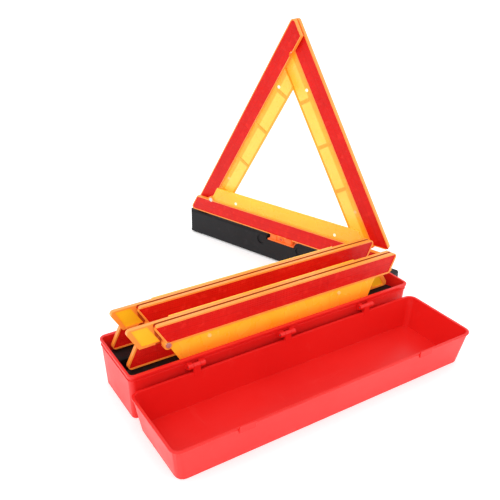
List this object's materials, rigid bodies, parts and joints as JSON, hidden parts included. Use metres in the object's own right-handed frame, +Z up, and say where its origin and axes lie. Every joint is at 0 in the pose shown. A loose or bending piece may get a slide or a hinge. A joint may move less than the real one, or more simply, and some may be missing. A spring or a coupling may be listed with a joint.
{
  "type": "warning triangle kit",
  "caption": "Roadside warning triangle kit: folding reflective triangle on a swivelling weighted base, with folded triangles stowed in a hinged red case.",
  "frame": {"origin": "on the ground under the middle of the whole kit", "axes": "+X along the case, +Y from the lid side towards the erected triangle, +Z up"},
  "size_m": [0.5, 0.6004, 0.4181],
  "materials": {
    "case_red": "glossy",
    "frame_orange": "satin",
    "reflector_red": "prismatic",
    "panel_fluorescent": "translucent fluorescent",
    "base_black": "textured",
    "steel": "plain",
    "rubber": "matte"
  },
  "bodies": {
    "tray": {"tray": "case_red", "hinge_pins": "steel"},
    "lid": {"lid": "case_red", "lid_latches": "case_red"},
    "base_a": {"base_housing_a": "base_black", "base_cover_a": "base_black", "ballast_a": "steel", "base_feet_a": "rubber", "cover_screws_a": "steel", "swivel_rivet_a": "steel"},
    "bottom_a": {"swivel_bracket_a": "frame_orange", "bottom_arm_a": "frame_orange", "bottom_reflector_a": "reflector_red", "bottom_panel_a": "panel_fluorescent", "left_pivot_a": "steel", "right_pivot_a": "steel"},
    "left_a": {"left_arm_a": "frame_orange", "left_reflector_a": "reflector_red", "left_panel_a": "panel_fluorescent"},
    "right_a": {"right_arm_a": "frame_orange", "right_reflector_a": "reflector_red", "right_panel_a": "panel_fluorescent"},
    "base_b": {"base_housing_b": "base_black", "base_cover_b": "base_black", "ballast_b": "steel", "base_feet_b": "rubber", "cover_screws_b": "steel", "swivel_rivet_b": "steel", "swivel_bracket_b": "frame_orange", "bottom_arm_b": "frame_orange", "bottom_reflector_b": "reflector_red", "bottom_panel_b": "panel_fluorescent", "left_pivot_b": "steel", "right_pivot_b": "steel"},
    "left_b": {"left_arm_b": "frame_orange", "left_reflector_b": "reflector_red", "left_panel_b": "panel_fluorescent"},
    "right_b": {"right_arm_b": "frame_orange", "right_reflector_b": "reflector_red", "right_panel_b": "panel_fluorescent"},
    "base_c": {"base_housing_c": "base_black", "base_cover_c": "base_black", "ballast_c": "steel", "base_feet_c": "rubber", "cover_screws_c": "steel", "swivel_rivet_c": "steel", "swivel_bracket_c": "frame_orange", "bottom_arm_c": "frame_orange", "bottom_reflector_c": "reflector_red", "bottom_panel_c": "panel_fluorescent", "left_pivot_c": "steel", "right_pivot_c": "steel"},
    "left_c": {"left_arm_c": "frame_orange", "left_reflector_c": "reflector_red", "left_panel_c": "panel_fluorescent"},
    "right_c": {"right_arm_c": "frame_orange", "right_reflector_c": "reflector_red", "right_panel_c": "panel_fluorescent"}
  },
  "joints": [
    {"name": "lid_hinge", "type": "hinge", "parent": "tray", "child": "lid", "pos_m": [-0.02084, -0.17821, 0.0582], "axis": [-1, 0, 0], "range_deg": [0, 180]},
    {"name": "lift_a", "type": "slide", "parent": "tray", "child": "base_a", "axis": [0, 0, 1], "range_m": [0, 0.3]},
    {"name": "base_swivel_a", "type": "hinge", "parent": "base_a", "child": "bottom_a", "pos_m": [0.16344, 0.09228, 0], "axis": [0, 0, 1], "range_deg": [0, 90]},
    {"name": "left_fold_a", "type": "hinge", "parent": "bottom_a", "child": "left_a", "pos_m": [0.23046, -0.05881, 0.0785], "axis": [-0.9397, -0.342, 0], "range_deg": [0, 60]},
    {"name": "right_fold_a", "type": "hinge", "parent": "bottom_a", "child": "right_a", "pos_m": [0.10826, 0.24769, 0.0785], "axis": [0.9397, 0.342, 0], "range_deg": [0, 60]},
    {"name": "lift_b", "type": "slide", "parent": "tray", "child": "base_b", "axis": [0, 0, -1], "range_m": [-0.3, 0]},
    {"name": "left_unfold_b", "type": "hinge", "parent": "base_b", "child": "left_b", "pos_m": [-0.18575, -0.15316, 0.08352], "axis": [0, 0.9945, -0.1045], "range_deg": [-60, 0]},
    {"name": "right_unfold_b", "type": "hinge", "parent": "base_b", "child": "right_b", "pos_m": [0.14406, -0.14322, 0.08247], "axis": [0, -0.9945, 0.1045], "range_deg": [-60, 0]},
    {"name": "lift_c", "type": "slide", "parent": "tray", "child": "base_c", "axis": [0, 0, -1], "range_m": [-0.3, 0]},
    {"name": "left_unfold_c", "type": "hinge", "parent": "base_c", "child": "left_c", "pos_m": [-0.18575, -0.10206, 0.08352], "axis": [0, 0.9945, -0.1045], "range_deg": [-60, 0]},
    {"name": "right_unfold_c", "type": "hinge", "parent": "base_c", "child": "right_c", "pos_m": [0.14406, -0.09212, 0.08247], "axis": [0, -0.9945, 0.1045], "range_deg": [-60, 0]}
  ]
}
